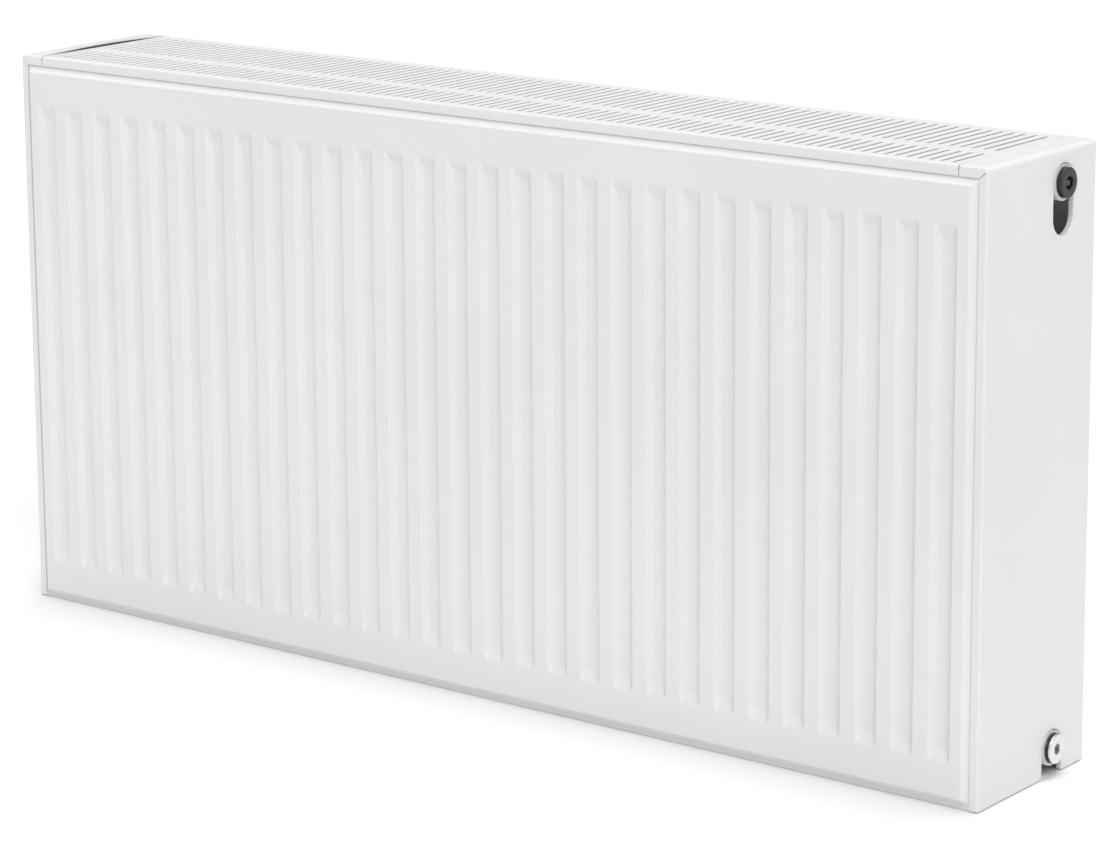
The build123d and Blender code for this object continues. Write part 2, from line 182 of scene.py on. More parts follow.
def turned_metal(name, light, dark, axis_point, lines_per_metre, rough):
    """Plated metal with the fine rings that a lathe leaves round axis_point."""
    mat, tree, bsdf = shader(name)
    rings = node(tree, "ShaderNodeTexWave", Scale=lines_per_metre, Distortion=0.6, Detail=2.0)
    rings.wave_type, rings.rings_direction = "RINGS", "X"
    space = object_space(tree, shift=[-c for c in axis_point])
    tree.links.new(space, rings.inputs["Vector"])
    cloud = noise_field(tree, space, 260.0, 3)
    coloured(tree, bsdf, remap(tree, cloud, 0, 1), dark, light)
    tree.links.new(remap(tree, cloud, *rough), bsdf.inputs["Roughness"])
    bumps(tree, bsdf, (rings.outputs["Fac"], 0.012 * MM), (cloud, 0.02 * MM))
    bsdf.inputs["Metallic"].default_value = 1.0
    return mat


def zinc_plate(name):
    """Bright zinc with soft crystal patches and a drawn grain."""
    mat, tree, bsdf = shader(name)
    patches = node(tree, "ShaderNodeTexVoronoi", Scale=190.0)
    tree.links.new(object_space(tree), patches.inputs["Vector"])
    tone = remap(tree, patches.outputs["Distance"], 0, 1, 0.1, 0.9)
    coloured(tree, bsdf, tone, (0.55, 0.56, 0.58), (0.72, 0.72, 0.71))
    grain = noise_field(tree, object_space(tree, (900, 900, 70)), 1.0, 3)
    tree.links.new(remap(tree, grain, 0.26, 0.42), bsdf.inputs["Roughness"])
    bumps(tree, bsdf, (grain, 0.02 * MM))
    bsdf.inputs["Metallic"].default_value = 1.0
    return mat


def moulded(name, light, dark, rough, grain_scale, depth):
    """Black plastic or rubber with a fine moulded grain and a trace of dust."""
    mat, tree, bsdf = shader(name)
    space = object_space(tree)
    coloured(tree, bsdf, remap(tree, noise_field(tree, space, 140.0, 4), 0, 1), dark, light)
    grain = noise_field(tree, space, grain_scale, 2)
    tree.links.new(remap(tree, grain, *rough), bsdf.inputs["Roughness"])
    bumps(tree, bsdf, (grain, depth))
    return mat


def middle(name):
    """The middle of a CAD node's box."""
    low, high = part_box(name)
    return (low + high) / 2


COAT_LIGHT, COAT_DARK = (0.80, 0.80, 0.80), (0.775, 0.775, 0.776)
NICKEL_LIGHT, NICKEL_DARK = (0.80, 0.79, 0.775), (0.72, 0.71, 0.695)
PLASTIC_LIGHT, PLASTIC_DARK = (0.026, 0.026, 0.027), (0.012, 0.012, 0.013)
RUBBER_LIGHT, RUBBER_DARK = (0.022, 0.022, 0.022), (0.012, 0.012, 0.012)
# The bleed screw's tones are plated metal made dark: painted shade for its place deep in the vent
# plug's key recess
SCREW_SHADED_LIGHT, SCREW_SHADED_DARK = (0.13, 0.125, 0.12), (0.07, 0.067, 0.063)
STEEL_LIGHT, STEEL_DARK = (0.50, 0.50, 0.49), (0.34, 0.33, 0.32)

coat = powder_coat("white_powder_coat", COAT_LIGHT, COAT_DARK, (0.36, 0.48), 0.012 * MM)
finishes = {
    "white_powder_coat": coat,
    "convector_paint": primed_steel("convector_paint"),
    "nickel_plate": turned_metal(
        "nickel_plate", NICKEL_LIGHT, NICKEL_DARK, middle("blanking_plug"), 620.0, (0.24, 0.34)
    ),
    "black_plastic": moulded(
        "black_plastic", PLASTIC_LIGHT, PLASTIC_DARK, (0.36, 0.5), 1900.0, 0.03 * MM
    ),
    "black_rubber": moulded(
        "black_rubber", RUBBER_LIGHT, RUBBER_DARK, (0.5, 0.66), 2600.0, 0.02 * MM
    ),
    "zinc_steel": zinc_plate("zinc_steel"),
}
# The bleed screw's plated metal, painted dark as shade for the deep key recess it sits in
nickel_painted_shade = turned_metal(
    "nickel_painted_shade", SCREW_SHADED_LIGHT, SCREW_SHADED_DARK, middle("bleed_screw"), 900.0, (0.35, 0.5)
)
bare_steel = turned_metal(
    "cut_thread_steel", STEEL_LIGHT, STEEL_DARK, middle("tee_lower_left"), 500.0, (0.3, 0.45)
)


# ---------------------------------------------------------------- mesh helpers


def piece(name, mesh, *replaced):
    """An object of mesh that stands for the CAD nodes replaced, on their body, in their finish."""
    obj = bpy.data.objects.new(name, mesh)
    scene.collection.objects.link(obj)
    mesh.shade_smooth()
    if not mesh.materials:
        mesh.materials.append(finishes[slots[replaced[0]]])
    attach(obj, nodes[replaced[0]]["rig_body"])
    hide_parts(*replaced)
    return obj


def modify(obj, kind, **settings):
    """Adds a modifier to obj."""
    modifier = obj.modifiers.new(kind.title(), kind)
    for key, value in settings.items():
        setattr(modifier, key, value)


def polygons(name, rings):
    """A mesh of flat polygons; corners at the same place are shared."""
    index, faces = {}, []
    for ring in rings:
        corners = []
        for corner in ring:
            key = tuple(round(c, 7) for c in corner)
            corner_index = index.setdefault(key, len(index))
            if corner_index not in corners:
                corners.append(corner_index)
        faces.append(corners)
    mesh = bpy.data.meshes.new(name)
    mesh.from_pydata(list(index), [], faces)
    return mesh


WIDEST_BEND = 8 * MM
BEND_ANGLE, EDGE_ANGLE = radians(25), radians(48)


def folded(name, rings, thickness, fold, outward, *replaced, edge=0.22 * MM):
    """Folded sheet metal of a thickness, with its cut edges rounded by edge.

    rings are its outer polygons; fold(middle of an edge) is the outer bend radius there.
    """
    mesh = polygons(name, rings)
    bm = bmesh.new()
    bm.from_mesh(mesh)
    bmesh.ops.recalc_face_normals(bm, faces=bm.faces)
    biggest = max(bm.faces, key=lambda f: f.calc_area())
    if biggest.normal.dot(Vector(outward)) < 0:
        bmesh.ops.reverse_faces(bm, faces=bm.faces)
    weights = bm.edges.layers.float.new("bevel_weight_edge")
    for e in bm.edges:
        if len(e.link_faces) == 2 and e.calc_face_angle() > BEND_ANGLE:
            e[weights] = fold((e.verts[0].co + e.verts[1].co) / 2) / WIDEST_BEND
    bm.to_mesh(mesh)
    bm.free()
    obj = piece(name, mesh, *replaced)
    modify(
        obj, "BEVEL", width=WIDEST_BEND, segments=5, limit_method="WEIGHT", use_clamp_overlap=False
    )
    modify(
        obj, "SOLIDIFY",
        thickness=thickness, offset=-1, use_even_offset=True, use_quality_normals=True,
    )
    modify(
        obj, "BEVEL",
        width=edge, segments=2,
        limit_method="ANGLE", angle_limit=EDGE_ANGLE, use_clamp_overlap=True,
    )
    modify(obj, "WEIGHTED_NORMAL", weight=60, keep_sharp=False)


def spread(low, high, parts):
    """Evenly spaced values from low to high, both included."""
    return [low + (high - low) * i / parts for i in range(parts + 1)]


def arc(centre, radius, start, end, parts):
    """Points round centre in a plane, from start to end degrees."""
    turns = [radians(start + (end - start) * i / parts) for i in range(parts + 1)]
    return [(centre[0] + radius * cos(t), centre[1] + radius * sin(t)) for t in turns]


def rounded_path(points, radius, parts=5):
    """An open path with its inner corners rounded."""
    path = [points[0]]
    for before, corner, after in zip(points, points[1:], points[2:]):
        at = Vector(corner)
        into, out = at - Vector(before), Vector(after) - at
        turn = into.angle_signed(out)
        reach = min(radius * tan(abs(turn) / 2), into.length * 0.49, out.length * 0.49)
        first, last = at - into.normalized() * reach, at + out.normalized() * reach
        for i in range(parts + 1):
            t = i / parts
            path.append(tuple(first * (1 - t) ** 2 + at * 2 * t * (1 - t) + last * t * t))
    return path + [points[-1]]


def even(sides, apothem):
    """The radius of a regular polygon as a function of angle, for turned()."""
    half = pi / sides
    return lambda angle, _x: apothem / cos((angle + half) % (2 * half) - half)


# G 1/2; the male thread is smaller by PLAY all round
THREAD_PITCH = 1.8143 * MM
THREAD_DEPTH = 1.162 * MM
THREAD_MINOR = 18.631 / 2 * MM
THREAD_PLAY = 0.065 * MM
STEPS_PER_TURN = 12


def thread(start, end, clearance):
    """Rows of a right-handed G 1/2 thread between two places along X, run out at both ends."""

    def radius(angle, x):
        fade = min(1.0, (x - start) / THREAD_PITCH, (end - x) / THREAD_PITCH)
        wave = 0.5 - 0.5 * cos(2 * pi * (x / THREAD_PITCH) - angle)
        return THREAD_MINOR - clearance + THREAD_DEPTH * wave * max(0.0, fade)

    count = ceil((end - start) / THREAD_PITCH * STEPS_PER_TURN)
    return [(start + (end - start) * i / count, radius) for i in range(count + 1)]


def turned(name, rows, centre, segments=96, closed=False, matrix=None):
    """A body round an axis along X through centre.

    rows are (x, radius) or (x, function of angle and x); closed joins the last to the first.
    """
    vertices, faces, loops = [], [], []
    for x, radius in rows:
        if radius == 0:
            vertices.append((x, centre.y, centre.z))
            loops.append([len(vertices) - 1] * segments)
            continue
        first = len(vertices)
        for i in range(segments):
            angle = 2 * pi * i / segments
            r = radius(angle, x) if callable(radius) else radius
            vertices.append((x, centre.y + r * cos(angle), centre.z + r * sin(angle)))
        loops.append(list(range(first, first + segments)))
    pairs = list(zip(loops, loops[1:])) + ([(loops[-1], loops[0])] if closed else [])
    for a, b in pairs:
        for i in range(segments):
            j = (i + 1) % segments
            ring = list(dict.fromkeys((a[i], a[j], b[j], b[i])))
            if len(ring) > 2:
                faces.append(ring)
    mesh = bpy.data.meshes.new(name)
    mesh.from_pydata(vertices, [], faces)
    if matrix is not None:
        mesh.transform(matrix)
    bm = bmesh.new()
    bm.from_mesh(mesh)
    bmesh.ops.recalc_face_normals(bm, faces=bm.faces)
    bm.to_mesh(mesh)
    bm.free()
    return mesh


def crisp(obj, angle=32):
    """Smooth shading that stops at edges sharper than angle."""
    obj.data.set_sharp_from_angle(angle=radians(angle))
    return obj


# ---------------------------------------------------------------- water panels

PANEL_SHEET = 1.2 * MM
SEAM_WIDTH = 4.0 * MM
RIM_WIDTH = 5.8 * MM
RIM_SHARPNESS = 0.12
GROOVES = 29
GROOVE_HALF = 10.2 * MM
GROOVE_WALL = 4.6 * MM
GROOVE_CORNER = 3.5 * MM
GROOVE_SHARPNESS = 0.2
GROOVE_BOTTOM, GROOVE_TOP = 35.0 * MM, 457.5 * MM
BOTTOM_RAMP, TOP_RAMP = 12.0 * MM, 10.5 * MM
# Places of the grid lines across the rim, in mm from the sheet's edge
RIM_LINES = (0, 2.0, 3.8, 4.1, 4.4, 4.7, 5.4, 6.9, 8.4, 9.1, 9.4, 9.7, 10.0, 12.5)


def bend_ramp(t, k):
    """0 to 1 in a straight slope whose two ends are rounded over k of its width."""
    t = min(max(t, 0.0), 1.0)
    if t < k:
        return t * t / (2 * k * (1 - k))
    if t > 1 - k:
        return 1 - (1 - t) ** 2 / (2 * k * (1 - k))
    return (t - k / 2) / (1 - k)


def groove_depth(x, z):
    """How far into a groove's full depth a point lies, 0 to 1."""
    last = GROOVES // 2
    centre = PITCH * max(-last, min(last, round(x / PITCH)))
    across = GROOVE_HALF - abs(x - centre)
    along = min((z - GROOVE_BOTTOM) / BOTTOM_RAMP, (GROOVE_TOP - z) / TOP_RAMP) * GROOVE_WALL
    a, b = GROOVE_CORNER - across, GROOVE_CORNER - along
    inside = GROOVE_CORNER - hypot(max(a, 0), max(b, 0)) - min(max(a, b), 0)
    return bend_ramp(inside / GROOVE_WALL, GROOVE_SHARPNESS)


def sheet_lines(low, high):
    """Grid lines along X and Z, close together where the sheet bends."""
    xs = [low.x + r * MM for r in RIM_LINES] + [high.x - r * MM for r in RIM_LINES]
    last = GROOVES // 2
    wall = [GROOVE_HALF + 0.4 * MM - GROOVE_WALL * 1.12 * i / 9 for i in range(10)]
    for groove in range(-last, last + 1):
        for offset in wall + [2.5 * MM]:
            xs += [groove * PITCH + offset, groove * PITCH - offset]
        xs.append(groove * PITCH)
        xs.append((groove + 0.5) * PITCH)
    zs = [low.z + r * MM for r in RIM_LINES] + [high.z - r * MM for r in RIM_LINES]
    for start, ramp in ((GROOVE_BOTTOM, BOTTOM_RAMP), (GROOVE_TOP, -TOP_RAMP)):
        zs += [start + ramp * (i / 14 * 1.25 - 0.06) for i in range(15)]
    zs += [60 * MM + 55 * MM * i for i in range(8)]
    xs = sorted({round(x, 6) for x in xs if low.x <= x <= high.x})
    return xs, sorted({round(z, 6) for z in zs})


def pressed_sheet(cad_node, seam_y, direction):
    """One pressed sheet of a panel, bulging from the seam along direction * Y."""
    low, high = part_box(cad_node)
    face_height = high.y - low.y
    xs, zs = sheet_lines(low, high)
    press = face_height - PANEL_SHEET
    vertices = []
    for x in xs:
        for z in zs:
            edge = min(x - low.x, high.x - x, z - low.z, high.z - z)
            rise = bend_ramp((edge - SEAM_WIDTH) / RIM_WIDTH, RIM_SHARPNESS)
            height = PANEL_SHEET + press * rise * (1 - groove_depth(x, z))
            vertices.append((x, seam_y + direction * height, z))
    rows = len(zs)
    faces = []
    for i in range(len(xs) - 1):
        for j in range(rows - 1):
            a = i * rows + j
            ring = (a, a + rows, a + rows + 1, a + 1)
            faces.append(ring if direction < 0 else ring[::-1])
    mesh = bpy.data.meshes.new(cad_node + "_pressing")
    mesh.from_pydata(vertices, [], faces)
    obj = piece(cad_node + "_pressing", mesh, cad_node)
    modify(obj, "SOLIDIFY", thickness=PANEL_SHEET, offset=-1, use_even_offset=True)
    modify(obj, "WEIGHTED_NORMAL", weight=50, keep_sharp=False)


for cad_node, direction in (("front_panel_outer_sheet", -1), ("rear_panel_outer_sheet", 1)):
    low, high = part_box(cad_node)
    pressed_sheet(cad_node, high.y if direction < 0 else low.y, direction)


# ---------------------------------------------------------------- convectors

FIN_SHEET = 0.5 * MM
FIN_FLAT = 13.0 * MM
FIN_SECTIONS = 4
FIN_BEND = 3.2 * MM
SECTION_GAP = 1.0 * MM
TINY = 1e-6


def convector(cad_node, direction):
    """Corrugated sheet in four lengths with rounded folds; direction points away from its panel."""
    low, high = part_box(cad_node)
    root, ridge = (low.y, high.y) if direction > 0 else (high.y, low.y)
    ridge -= direction * FIN_SHEET
    half = FIN_FLAT / 2
    per_section = (GROOVES - 1) // FIN_SECTIONS
    rings = []
    for section in range(FIN_SECTIONS):
        first = (section - FIN_SECTIONS / 2) * per_section * PITCH
        points = [(first + SECTION_GAP / 2, ridge)]
        for fold in range(per_section):
            start = first + fold * PITCH
            points += [(start + half, ridge), (start + PITCH / 2 - half, root)]
            points += [(start + PITCH / 2 + half, root), (start + PITCH - half, ridge)]
        points.append((first + per_section * PITCH - SECTION_GAP / 2, ridge))
        path = rounded_path(points, FIN_BEND)
        for (x0, y0), (x1, y1) in zip(path, path[1:]):
            if hypot(x1 - x0, y1 - y0) > TINY:
                ring = [(x0, y0, low.z), (x1, y1, low.z), (x1, y1, high.z), (x0, y0, high.z)]
                rings.append(ring)
    mesh = polygons(cad_node + "_fins", rings)
    obj = piece(cad_node + "_fins", mesh, cad_node)
    modify(obj, "SOLIDIFY", thickness=FIN_SHEET, offset=direction, use_even_offset=True)
    modify(obj, "WEIGHTED_NORMAL", weight=50, keep_sharp=False)


for place, direction in (("front", 1), ("middle", 1), ("rear", -1)):
    convector(place + "_convector", direction)


# ---------------------------------------------------------------- side covers

CASING_SHEET = 1.0 * MM
TOP_BEND = 4.5 * MM
EDGE_BEND = 2.2 * MM
FLANGE = 7.5 * MM
LIP = 8.5 * MM
OPENING_R = 15.0 * MM
OPENING_RUN = 26.0 * MM
COLLAR = 4.3 * MM
COLLAR_BEND = 0.8 * MM
LEFT_BOW, RIGHT_BOW = 2.6 * MM, 0.15 * MM
MITRE_INSET, MITRE_DROP = 2.8 * MM, 3.8 * MM
LEFT_GAPE, RIGHT_GAPE = 0.5 * MM, 1.4 * MM
TOP_PARTS = 24
NEAR = 0.1 * MM
PORT_Y, HIGH_Z = (round(c, 5) for c in middle("vent_plug").yz)
LOW_Z = round(middle("blanking_plug").z, 5)


def slot_side(sign, parts=12):
    """One side of the cover's openings, in runs of (y, z): the notch, then the slot, upwards."""
    start, bottom = (0, -90) if sign > 0 else (180, 270)
    notch_top = arc((PORT_Y, LOW_Z), OPENING_R, start, 90, parts)
    slot_low = arc((PORT_Y, HIGH_Z - OPENING_RUN), OPENING_R, bottom, start, parts)
    slot_high = arc((PORT_Y, HIGH_Z), OPENING_R, start, 90, parts)
    return notch_top, slot_low, slot_high


def side_cover(side_name, side):
    """The folded end cover; its top flange is slightly sprung along its free edge."""
    low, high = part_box(f"side_cover_{side_name}")
    plate_x = high.x if side > 0 else low.x
    inner_x = low.x if side > 0 else high.x
    depth = high.y
    stations = {round(y, 6) for y in spread(low.y, high.y, TOP_PARTS)}
    stations = sorted(stations | {round(PORT_Y, 6)})
    rings, collars = [], []
    for sign in (-1, 1):
        notch_top, slot_low, slot_high = slot_side(sign)
        outline = [(sign * depth, high.z), (sign * depth, low.z)]
        outline.append((PORT_Y + sign * OPENING_R, low.z))
        outline += notch_top + slot_low + slot_high
        crest = [y for y in stations if (y - PORT_Y) * sign > -1e-9]
        outline += [(y, high.z) for y in (crest if sign > 0 else crest[::-1])][:-1]
        rings.append([(plate_x, y, z) for y, z in outline])
        collars.append([(PORT_Y + sign * OPENING_R, low.z)] + notch_top)
        collars.append(slot_low + slot_high)
    for run in collars:
        for (y0, z0), (y1, z1) in zip(run, run[1:]):
            if hypot(y1 - y0, z1 - z0) > TINY:
                back = plate_x - side * COLLAR
                ring = [(plate_x, y0, z0), (plate_x, y1, z1), (back, y1, z1), (back, y0, z0)]
                rings.append(ring)
    flange_x, lip_z = plate_x - side * FLANGE, high.z - LIP
    # The free edge of the left flange springs up; the right one lies nearly flat
    bow = LEFT_BOW if side < 0 else RIGHT_BOW
    for y0, y1 in zip(stations, stations[1:]):
        rise = [bow * (1 - (y / depth) ** 2) for y in (y0, y1)]
        ring = [(plate_x, y0, high.z), (plate_x, y1, high.z)]
        ring += [(inner_x, y1, high.z + rise[1]), (inner_x, y0, high.z + rise[0])]
        rings.append(ring)
    # The mitre between flange and lip; the left one is nearly closed
    gape = RIGHT_GAPE if side > 0 else LEFT_GAPE
    mitre_z = high.z - MITRE_DROP
    slit = [
        (flange_x, lip_z - gape),
        (plate_x - side * (MITRE_INSET - gape / 3), mitre_z - gape / 2),
        (plate_x - side * MITRE_INSET, mitre_z),
        (flange_x - side * NEAR, lip_z),
    ]
    for sign in (-1, 1):
        ring = [(plate_x, high.z), (plate_x, low.z), (flange_x, low.z)] + slit
        ring += [(inner_x, lip_z), (inner_x, high.z)]
        rings.append([(x, sign * depth, z) for x, z in ring])

    def fold(at):
        if abs(at.y) < depth - NEAR and at.z > high.z - NEAR:
            return TOP_BEND
        return EDGE_BEND if abs(at.y) > depth - NEAR else COLLAR_BEND

    name = f"side_cover_{side_name}"
    folded(name + "_sheet", rings, CASING_SHEET, fold, (side, 0, 0), name)


for side_name, side in LEFT_RIGHT:
    side_cover(side_name, side)


# ---------------------------------------------------------------- top grille

SLOT_PITCH = 10.0 * MM
SLOT_R = 1.4 * MM
SLOTS = 94
SLOT_ROWS = ((-73.5 * MM, -28.0 * MM), (-13.0 * MM, 66.5 * MM))
END_SAG, SAG_LENGTH = 1.6 * MM, 12 * MM


def grille():
    """The slotted top, made of the strips between neighbouring slots, and its folded lips."""
    low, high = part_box("top_grille")
    depth = high.y
    centres = [(i - (SLOTS - 1) / 2) * SLOT_PITCH for i in range(SLOTS)]
    cuts = [low.x] + centres + [high.x]
    ends = spread(low.y, high.y, TOP_PARTS)

    def side_run(x, sign, slotted):
        """Points up one side of a polygon; sign is which way its slots' halves bulge."""
        if not slotted:
            return [(x, y) for y in ends]
        run = [(x, low.y)]
        for near, far in SLOT_ROWS:
            half_slot = arc((0, near + SLOT_R), SLOT_R, -90, 0, 5)
            half_slot += arc((0, far - SLOT_R), SLOT_R, 0, 90, 5)
            run += [(x + sign * abs(px), py) for px, py in half_slot]
        return run + [(x, high.y)]

    def sag(x, y):
        """How far the left end hangs below the flat top."""
        near_left = max(0.0, 1 - (x - low.x) / SAG_LENGTH)
        return END_SAG * near_left**2 * (1 - (y / depth) ** 2)

    rings = []
    for i, (x0, x1) in enumerate(zip(cuts, cuts[1:])):
        right = side_run(x1, -1, i < len(cuts) - 2)
        left = side_run(x0, 1, i > 0)
        rings.append([(x, y, high.z - sag(x, y)) for x, y in right + left[::-1]])
        for y in (low.y, high.y):
            rings.append([(x0, y, high.z), (x1, y, high.z), (x1, y, low.z), (x0, y, low.z)])
    folded(
        "top_grille_sheet", rings, CASING_SHEET, lambda at: EDGE_BEND, (0, 0, 1), "top_grille",
        edge=0.18 * MM,
    )


grille()


# ---------------------------------------------------------------- brackets, hooks, clips, lugs

BRACKET_SHEET = 1.2 * MM
CLIP_SHEET = 0.8 * MM
LUG_SHEET = 2.0 * MM
LUG_SLOT_R, LUG_SLOT_HEIGHT = 4.5 * MM, 22 * MM


def prism_faces(path, start, end, place):
    """Quads along a path, drawn out from start to end; place turns (u, v, w) into a point."""
    return [
        [place(u0, v0, start), place(u1, v1, start), place(u1, v1, end), place(u0, v0, end)]
        for (u0, v0), (u1, v1) in zip(path, path[1:])
    ]


def cover_bracket(name, side):
    """An angle on the middle panel that the cover's hook drops behind."""
    low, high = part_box(name)
    outer, root = (high.x, low.x) if side > 0 else (low.x, high.x)
    path = [(root, low.y), (outer, low.y), (outer, high.y)]
    rings = prism_faces(path, low.z, high.z, lambda u, v, w: (u, v, w))
    folded(name + "_angle", rings, BRACKET_SHEET, lambda at: 1.8 * MM, (0, -1, 0), name)


def cover_hook(name, side):
    """A tab bent down behind the cover's plate."""
    low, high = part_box(name)
    wall, leg = (high.x, low.x) if side > 0 else (low.x, high.x)
    path = [(wall, high.z), (leg, high.z), (leg, low.z)]
    rings = prism_faces(path, low.y, high.y, lambda u, v, w: (u, w, v))
    folded(name + "_tab", rings, BRACKET_SHEET, lambda at: 1.6 * MM, (-side, 0, 0), name)


def grille_clip(name):
    """A U of spring sheet, open below."""
    low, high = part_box(name)
    path = [(low.y, low.z), (low.y, high.z), (high.y, high.z), (high.y, low.z)]
    rings = prism_faces(path, low.x, high.x, lambda u, v, w: (w, u, v))
    folded(name + "_spring", rings, CLIP_SHEET, lambda at: 1.4 * MM, (0, -1, 0), name)


def wall_lug(name):
    """A U of thick sheet; its back has a slot, open below, for the wall hook."""
    low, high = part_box(name)
    centre_x = (low.x + high.x) / 2
    slot_top = low.z + LUG_SLOT_HEIGHT
    rings = []
    for sign in (-1, 1):
        edge_x = centre_x + sign * (high.x - low.x) / 2
        start = 0 if sign > 0 else 180
        back = [(edge_x, high.z), (edge_x, low.z), (centre_x + sign * LUG_SLOT_R, low.z)]
        back += arc((centre_x, slot_top - LUG_SLOT_R), LUG_SLOT_R, start, 90, 8)
        back.append((centre_x, high.z))
        rings.append([(x, high.y, z) for x, z in back])
        leg = [(high.y, low.z), (high.y, high.z), (low.y, high.z), (low.y, low.z)]
        rings.append([(edge_x, y, z) for y, z in leg])
    folded(name + "_loop", rings, LUG_SHEET, lambda at: 2.6 * MM, (0, 1, 0), name, edge=0.4 * MM)


for side_name, side in LEFT_RIGHT:
    for level in LOWER_UPPER:
        cover_bracket(f"cover_bracket_{level}_{side_name}", side)
        cover_hook(f"cover_hook_{level}_{side_name}", side)
        wall_lug(f"wall_lug_{level}_{side_name}")
for place in ("left", "middle", "right"):
    grille_clip(f"grille_clip_{place}")


# ---------------------------------------------------------------- ports and pipes

THREAD_LENGTH = 18.0 * MM
THREADED_R = 11 * MM
PIPE_INNER, PIPE_OUTER, WELD_BEAD = 8 * MM, 11 * MM, 1.6 * MM


def about_z(centre, angle):
    """A turn about the upright axis through centre."""
    return Matrix.Translation(centre) @ Matrix.Rotation(angle, 4, "Z") @ Matrix.Translation(-centre)


def threaded_tee(level, side_name, side):
    """The CAD tee with a real G 1/2 thread and a countersink cut into its mouth."""
    name = f"tee_{level}_{side_name}"
    low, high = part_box(name)
    mouth = high.x if side > 0 else -low.x
    port = Vector((0, PORT_Y, LOW_Z if level == "lower" else HIGH_Z))
    bottom = mouth - THREAD_LENGTH
    start, rim = bottom + 0.3 * MM, 0.6 * MM
    rows = [(start, 0)] + thread(start, mouth - 0.7 * MM, 0)
    rows += [(mouth - rim, 10.2 * MM), (mouth + rim, 11.2 * MM), (mouth + rim, 0)]
    matrix = about_z(port, pi) if side < 0 else None
    cutter = bpy.data.objects.new("cutter", turned("cutter", rows, port, matrix=matrix))
    scene.collection.objects.link(cutter)
    bm = bmesh.new()
    bm.from_mesh(nodes[name].data)
    bmesh.ops.remove_doubles(bm, verts=bm.verts, dist=0.001 * MM)
    mesh = bpy.data.meshes.new(name + "_cut")
    bm.to_mesh(mesh)
    bm.free()
    blank = bpy.data.objects.new("blank", mesh)
    scene.collection.objects.link(blank)
    modify(blank, "BOOLEAN", operation="DIFFERENCE", solver="EXACT", object=cutter)
    bpy.context.view_layer.update()
    evaluated = blank.evaluated_get(bpy.context.evaluated_depsgraph_get())
    cut = bpy.data.meshes.new_from_object(evaluated)
    for used in (cutter, blank):
        bpy.data.objects.remove(used)
    cut.name = name + "_body"
    cut.materials.clear()
    cut.materials.append(coat)
    cut.materials.append(bare_steel)
    for face in cut.polygons:
        c = face.center
        from_axis = hypot(c.y - port.y, c.z - port.z)
        if from_axis < THREADED_R and bottom < abs(c.x) < mouth - 0.01 * MM:
            face.material_index = 1
    crisp(piece(name + "_body", cut, name))


def pipe_rows(start, end, inner, outer, bead):
    """A closed tube along X with a weld bead round each end."""
    rows = [(start, inner)]
    rows += [(start + px, outer + py) for px, py in arc((0, 0), bead, 90, 0, 5)]
    rows += [(end + px, outer + py) for px, py in arc((0, 0), bead, 180, 90, 5)]
    return rows + [(end, inner)]


def spacer_pipe(level, side_name):
    """A pipe between the front and the middle panel, built along X and turned to Y."""
    name = f"spacer_{level}_{side_name}"
    low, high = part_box(name)
    centre = (low + high) / 2
    half = (high.y - low.y) / 2
    rows = pipe_rows(centre.x - half, centre.x + half, PIPE_INNER, PIPE_OUTER, WELD_BEAD)
    mesh = turned(name + "_pipe", rows, centre, 64, True, about_z(centre, pi / 2))
    crisp(piece(name + "_pipe", mesh, name))


for side_name, side in LEFT_RIGHT:
    for level in LOWER_UPPER:
        threaded_tee(level, side_name, side)
        spacer_pipe(level, side_name)


# ---------------------------------------------------------------- plugs, seals and bleed screw

SHANK_LENGTH = 11 * MM
BLANKING_KEY, BLANKING_KEY_DEPTH = 4.0 * MM, 6.5 * MM
VENT_KEY, VENT_KEY_DEPTH = 5.0 * MM, 5.5 * MM
VENT_BORE = 3.05 * MM
BLEED_SQUARE, BLEED_STEM = 2.5 * MM, 3 * MM
NECK_R = THREAD_MINOR - THREAD_PLAY


def shank(neck_x, end_x):
    """Rows from under a flange to the end of a threaded shank, outwards to inwards."""
    threads = thread(end_x + 0.6 * MM, neck_x - 0.2 * MM, THREAD_PLAY)
    return [(neck_x, NECK_R)] + threads[::-1] + [(end_x, NECK_R - 0.6 * MM)]


def blanking_plug():
    """The metal plug of the lower port, with a hexagonal key recess."""
    low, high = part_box("blanking_plug")
    face = high.x
    floor, under = face - BLANKING_KEY_DEPTH, face - 1.6 * MM
    recess = even(6, BLANKING_KEY)
    rows = [(floor - 1.6 * MM, 0), (floor, 2.6 * MM), (floor, recess), (face - 0.5 * MM, recess)]
    rows += [(face, even(6, BLANKING_KEY + 0.45 * MM)), (face, 8.5 * MM), (face, 11.3 * MM)]
    rows += arc((face - 0.7 * MM, 11.3 * MM), 0.7 * MM, 18, 90, 4)
    rows += [(under + 0.2 * MM, 12 * MM), (under, 11.8 * MM), (under, NECK_R)]
    rows += shank(low.x + SHANK_LENGTH, low.x) + [(low.x, 0)]
    mesh = turned("blanking_plug_body", rows, middle("blanking_plug"))
    crisp(piece("blanking_plug_body", mesh, "blanking_plug"))


def vent_plug():
    """The black plug of the upper port: a key recess, and a bore for the bleed screw."""
    low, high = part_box("vent_plug")
    face = high.x
    floor, under = face - VENT_KEY_DEPTH, face - 3.4 * MM
    recess = even(6, VENT_KEY)
    rows = [(floor, VENT_BORE), (floor, recess), (face - 0.5 * MM, recess)]
    rows += [(face, even(6, VENT_KEY + 0.4 * MM)), (face, 8.6 * MM), (face, 10.8 * MM)]
    rows += arc((face - 1.2 * MM, 10.8 * MM), 1.2 * MM, 15, 90, 5)
    rows += [(under + 0.3 * MM, 12 * MM), (under, 11.7 * MM), (under, NECK_R)]
    rows += shank(low.x + SHANK_LENGTH, low.x) + [(low.x, VENT_BORE)]
    mesh = turned("vent_plug_body", rows, middle("vent_plug"), closed=True)
    crisp(piece("vent_plug_body", mesh, "vent_plug"))


